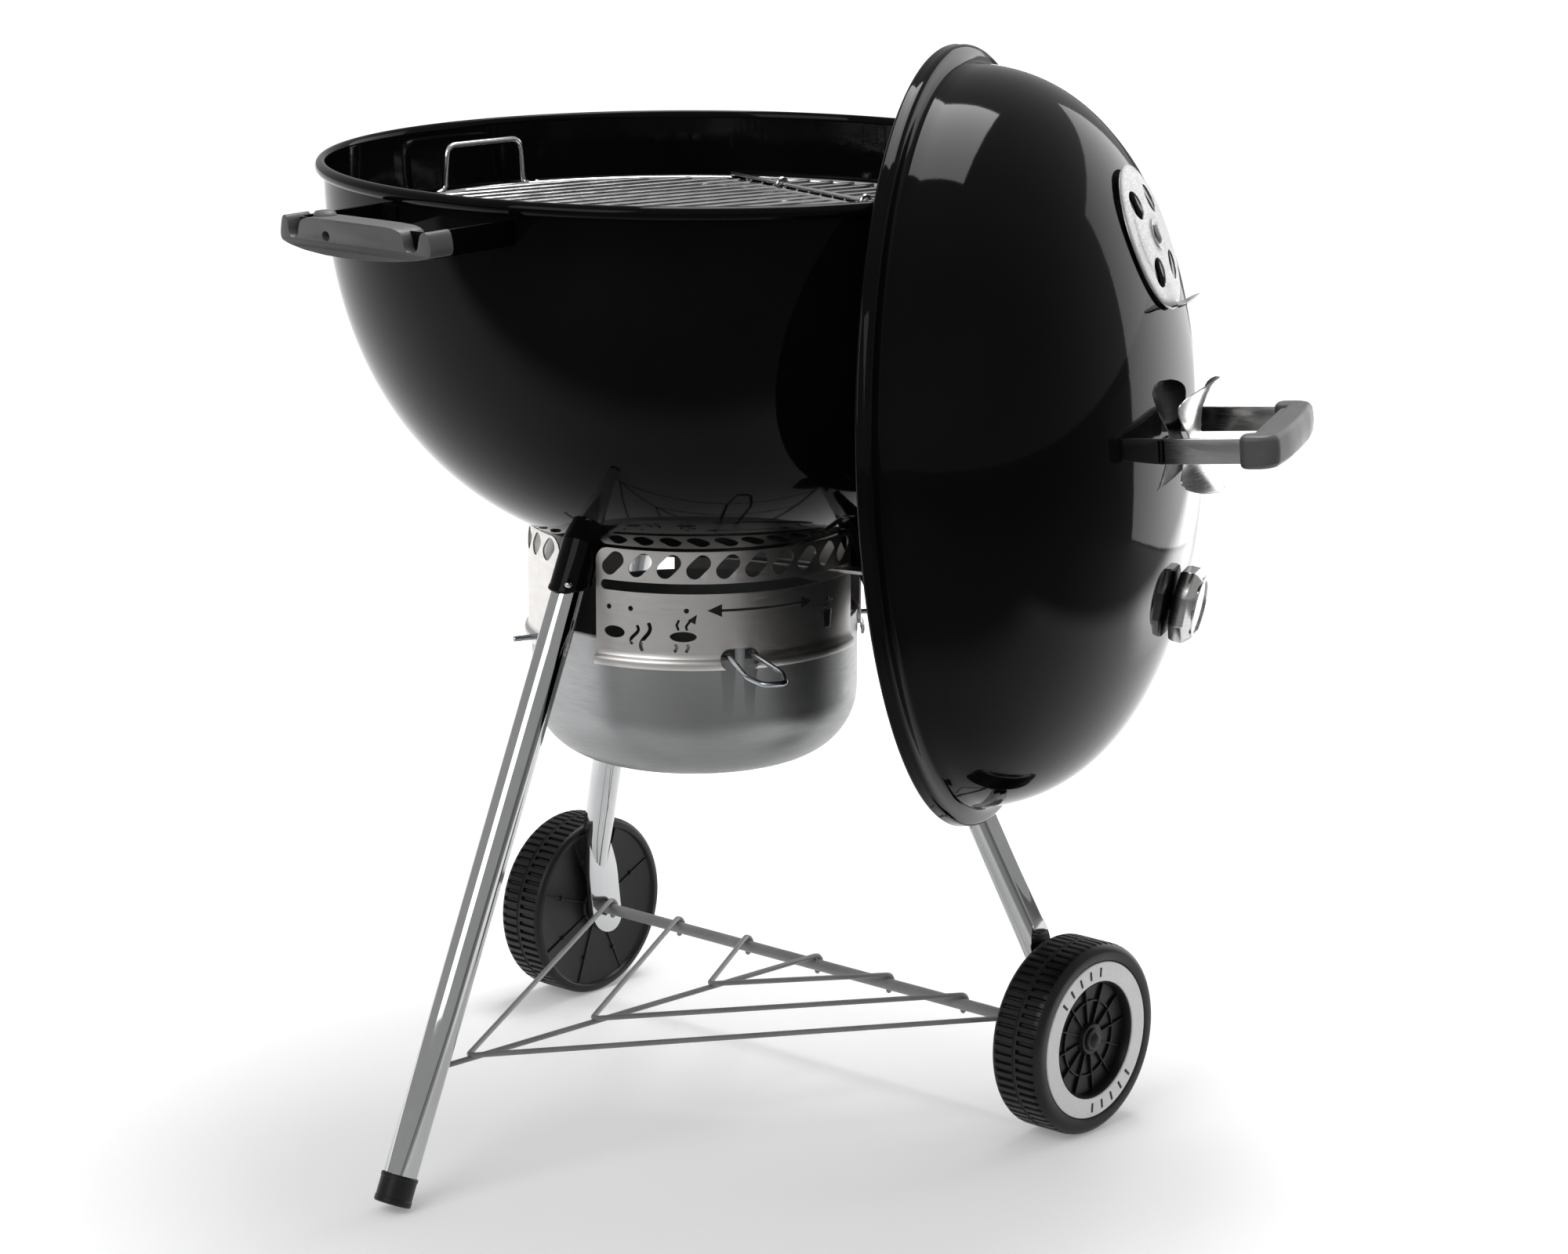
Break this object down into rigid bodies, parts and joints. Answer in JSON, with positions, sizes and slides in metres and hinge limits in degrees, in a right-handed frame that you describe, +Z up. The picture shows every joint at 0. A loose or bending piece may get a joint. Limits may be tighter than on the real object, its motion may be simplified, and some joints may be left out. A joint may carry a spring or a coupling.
{
  "type": "kettle charcoal grill",
  "caption": "Round kettle charcoal grill on a three-legged wheeled stand, with its domed lid hung on the bowl's rim, hinged cooking grate and removable ash bucket.",
  "frame": {"origin": "on the ground, under the middle of the whole grill's bounding box, lid hung on the right-hand front; the bowl's axis stands 36 mm towards -X and 10.4 mm towards +Y from it", "axes": "+Z up, front towards -Y, the footed leg on the left front, the lid on the right front and the axle across the right rear"},
  "size_m": [0.7676, 0.7388, 0.8432],
  "materials": {
    "black_enamel": "glossy porcelain enamel",
    "sweeper_aluminium": "rolled, satin",
    "guard_steel": "brushed round the guard",
    "bucket_aluminium": "satin, spun",
    "zinc_wire": "bright zinc plate",
    "leg_chrome": "bright plate",
    "rack_grey": "grey satin coat",
    "black_plastic": "moulded, fine grain",
    "white_trim": "moulded, satin",
    "grip_nylon": "glass-filled nylon, fine grain",
    "damper_aluminium": "satin, stamped",
    "dial_face": "printed dial",
    "bright_steel": "bright stainless sheet",
    "plated_wire": "bright nickel plate"
  },
  "bodies": {
    "grill": {"bowl": "black_enamel", "ash_guard_front": "guard_steel", "ash_guard_right": "guard_steel", "ash_guard_left": "guard_steel", "foot_leg_socket": "black_enamel", "right_wheel_leg_socket": "black_enamel", "rear_wheel_leg_socket": "black_enamel", "foot_leg_tube": "leg_chrome", "right_wheel_leg_tube": "leg_chrome", "rear_wheel_leg_tube": "leg_chrome", "foot_cap": "black_plastic", "axle": "rack_grey", "lower_rack": "rack_grey", "right_hub_cap": "black_plastic", "rear_hub_cap": "black_plastic", "left_handle_strap": "black_enamel", "left_handle_grip": "grip_nylon", "right_handle_strap": "black_enamel", "right_handle_grip": "grip_nylon", "charcoal_grate": "plated_wire", "grate_bracket_1": "plated_wire", "grate_bracket_2": "plated_wire", "grate_bracket_3": "plated_wire", "grate_bracket_4": "plated_wire"},
    "lid": {"lid": "black_enamel", "lid_hook": "black_enamel", "thermometer_bezel": "leg_chrome", "thermometer_dial": "dial_face", "thermometer_probe": "bright_steel", "lid_handle_strap": "bright_steel", "lid_handle_grip": "grip_nylon", "lid_heat_shield": "bright_steel", "lid_damper_rivet": "damper_aluminium"},
    "lid_damper": {"lid_damper": "damper_aluminium"},
    "ash_sweeper": {"ash_sweeper": "sweeper_aluminium", "damper_lever": "guard_steel"},
    "ash_bucket": {"ash_bucket": "bucket_aluminium", "bucket_catch_wire": "zinc_wire"},
    "cooking_grate": {"cooking_grate": "plated_wire"},
    "left_grate_flap": {"left_grate_flap": "plated_wire"},
    "right_grate_flap": {"right_grate_flap": "plated_wire"},
    "right_wheel": {"right_wheel": "black_plastic", "right_wheel_trim": "white_trim"},
    "rear_wheel": {"rear_wheel": "black_plastic", "rear_wheel_trim": "white_trim"},
    "foot_leg_snap_button": {"foot_leg_snap_button": "leg_chrome"},
    "right_wheel_leg_snap_button": {"right_wheel_leg_snap_button": "leg_chrome"},
    "rear_wheel_leg_snap_button": {"rear_wheel_leg_snap_button": "leg_chrome"}
  },
  "joints": [
    {"name": "lid_lift_off", "type": "slide", "parent": "grill", "child": "lid", "axis": [0.405, -0.2932, 0.866], "range_m": [0, 0.45]},
    {"name": "lid_damper_turn", "type": "hinge", "parent": "lid", "child": "lid_damper", "pos_m": [0.25096, -0.19733, 0.70821], "axis": [0.7557, -0.547, 0.3601], "range_deg": [-40, 40]},
    {"name": "damper_lever_turn", "type": "hinge", "parent": "grill", "child": "ash_sweeper", "pos_m": [-0.036, 0.0104, 0.445], "axis": [0, 0, 1], "range_deg": [-91, 0]},
    {"name": "ash_bucket_drop", "type": "slide", "parent": "grill", "child": "ash_bucket", "axis": [0, 0, -1], "range_m": [0, 0.16]},
    {"name": "cooking_grate_lift", "type": "slide", "parent": "grill", "child": "cooking_grate", "axis": [0, 0, 1], "range_m": [0, 0.03]},
    {"name": "left_flap_hinge", "type": "hinge", "parent": "cooking_grate", "child": "left_grate_flap", "pos_m": [-0.19538, -0.03231, 0.7052], "axis": [-0.2588, 0.9659, 0], "range_deg": [0, 110]},
    {"name": "right_flap_hinge", "type": "hinge", "parent": "cooking_grate", "child": "right_grate_flap", "pos_m": [0.12338, 0.05311, 0.7052], "axis": [0.2588, -0.9659, 0], "range_deg": [0, 110]},
    {"name": "right_wheel_roll", "type": "hinge", "parent": "grill", "child": "right_wheel", "pos_m": [0.22302, -0.14663, 0.0762], "axis": [0.5, -0.866, 0], "continuous": true},
    {"name": "rear_wheel_roll", "type": "hinge", "parent": "grill", "child": "rear_wheel", "pos_m": [-0.04248, 0.31323, 0.0762], "axis": [0.5, -0.866, 0], "continuous": true},
    {"name": "foot_leg_snap_button_press", "type": "slide", "parent": "grill", "child": "foot_leg_snap_button", "axis": [0.4226, 0.9063, 0], "range_m": [0, 0.0035], "stiffness_N_per_m": 900},
    {"name": "right_wheel_leg_snap_button_press", "type": "slide", "parent": "grill", "child": "right_wheel_leg_snap_button", "axis": [-0.9962, -0.0872, 0], "range_m": [0, 0.0035], "stiffness_N_per_m": 900},
    {"name": "rear_wheel_leg_snap_button_press", "type": "slide", "parent": "grill", "child": "rear_wheel_leg_snap_button", "axis": [0.5736, -0.8192, 0], "range_m": [0, 0.0035], "stiffness_N_per_m": 900}
  ]
}
